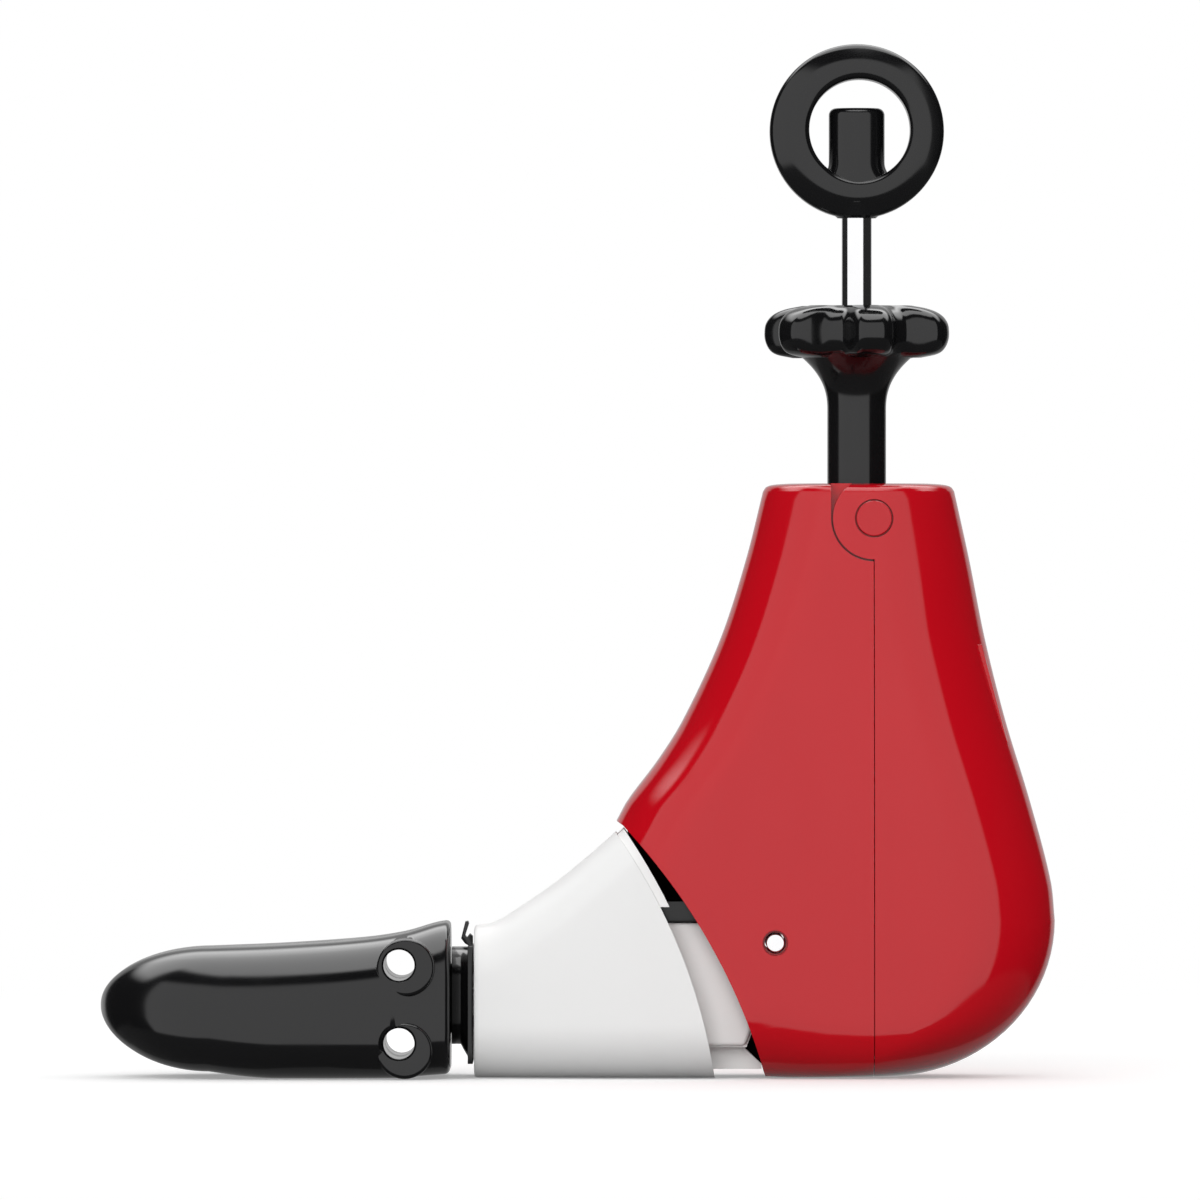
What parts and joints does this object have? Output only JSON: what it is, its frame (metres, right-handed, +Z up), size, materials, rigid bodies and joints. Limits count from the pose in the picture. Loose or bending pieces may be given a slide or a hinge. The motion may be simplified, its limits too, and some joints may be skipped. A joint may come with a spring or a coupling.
{
  "type": "shoe stretcher",
  "caption": "Adjustable shoe stretcher: a star knob opens the hinged heel, a finger ring draws a cable and wedge that spread the split toe.",
  "frame": {"origin": "on the sole plane, in the mid plane, half way between the toe's tip and the heel's back", "axes": "+X from the toe to the heel, +Y to the right half of the toe, +Z up along the rod"},
  "size_m": [0.2288, 0.066, 0.2475],
  "materials": {
    "red_plastic": "moulded, glossy",
    "black_plastic": "moulded, glossy",
    "white_plastic": "moulded, satin gloss",
    "grey_nylon": "moulded, satin",
    "chromed_steel": "polished",
    "bright_steel": "turned and drawn",
    "brass": "turned"
  },
  "bodies": {
    "heel_front": {"heel_front_shell": "red_plastic", "inner_frame": "bright_steel", "frame_screw_lower": "bright_steel", "frame_screw_upper": "bright_steel", "length_nut": "brass", "rod_bush": "brass", "pivot_pin": "chromed_steel", "hinge_pin_left": "red_plastic", "hinge_pin_right": "red_plastic", "heel_spring": "bright_steel"},
    "spreader": {"spreader_block": "grey_nylon", "roller_axle": "bright_steel", "spreader_roller_left": "bright_steel", "spreader_roller_right": "bright_steel"},
    "star": {"star_knob": "black_plastic", "screw_sleeve": "bright_steel"},
    "heel_rear": {"heel_rear_shell": "red_plastic"},
    "ring": {"ring_handle": "black_plastic", "drive_rod": "chromed_steel", "rod_clip_lower": "bright_steel", "rod_clip_upper": "bright_steel"},
    "cable_nut": {"cable_nut": "brass"},
    "pulley": {"cable_pulley": "grey_nylon"},
    "forepart": {"hinge_arm": "grey_nylon", "instep_shell": "white_plastic", "toe_core": "black_plastic", "guide_rod_front": "bright_steel", "guide_rod_rear": "bright_steel", "toe_spring": "bright_steel", "pull_cable": "bright_steel", "instep_screw_lower_left": "bright_steel", "instep_screw_lower_right": "bright_steel", "instep_screw_upper_left": "bright_steel", "instep_screw_upper_right": "bright_steel"},
    "toe_wedge": {"toe_wedge": "grey_nylon"},
    "toe_left": {"toe_half_left": "black_plastic"},
    "toe_right": {"toe_half_right": "black_plastic"}
  },
  "joints": [
    {"name": "star_spin", "type": "hinge", "parent": "spreader", "child": "star", "pos_m": [0.067, 0, 0.1848], "axis": [0, 0, -1], "range_deg": [0, 1800]},
    {"name": "spreader_slide", "type": "slide", "parent": "heel_front", "child": "spreader", "axis": [0, 0, -1], "range_m": [0, 0.018]},
    {"name": "heel_open", "type": "hinge", "parent": "heel_front", "child": "heel_rear", "pos_m": [0.07085, 0, 0.1337], "axis": [0, -1, 0], "range_deg": [0, 10], "deforming": ["heel_spring"]},
    {"name": "ring_spin", "type": "hinge", "parent": "heel_front", "child": "ring", "pos_m": [0.067, 0, 0.2266], "axis": [0, 0, -1], "range_deg": [0, 1800]},
    {"name": "cable_nut_slide", "type": "slide", "parent": "heel_front", "child": "cable_nut", "axis": [0, 0, 1], "range_m": [0, 0.016], "deforming": ["pull_cable"]},
    {"name": "pulley_spin", "type": "hinge", "parent": "heel_front", "child": "pulley", "pos_m": [0.0472, 0, 0.0324], "axis": [0, -1, 0], "range_deg": [0, 115]},
    {"name": "instep_tilt", "type": "hinge", "parent": "heel_front", "child": "forepart", "pos_m": [0.0472, 0, 0.0324], "axis": [0, -1, 0], "range_deg": [0, 15]},
    {"name": "wedge_slide", "type": "slide", "parent": "forepart", "child": "toe_wedge", "axis": [1, 0, 0], "range_m": [0, 0.016]},
    {"name": "toe_left_slide", "type": "slide", "parent": "forepart", "child": "toe_left", "axis": [0, -1, 0], "range_m": [0, 0.008], "deforming": ["toe_spring"]},
    {"name": "toe_right_slide", "type": "slide", "parent": "forepart", "child": "toe_right", "axis": [0, 1, 0], "range_m": [0, 0.008]}
  ],
  "couplings": [
    {"joint": "star_spin", "follows": "spreader_slide", "rad_per_m": 1745.3},
    {"joint": "heel_open", "follows": "spreader_slide", "rad_per_m": 9.6962},
    {"joint": "ring_spin", "follows": "cable_nut_slide", "rad_per_m": 1963.5},
    {"joint": "pulley_spin", "follows": "cable_nut_slide", "rad_per_m": 125},
    {"joint": "wedge_slide", "follows": "cable_nut_slide", "ratio": 1},
    {"joint": "toe_left_slide", "follows": "cable_nut_slide", "ratio": 0.5},
    {"joint": "toe_right_slide", "follows": "cable_nut_slide", "ratio": 0.5}
  ]
}
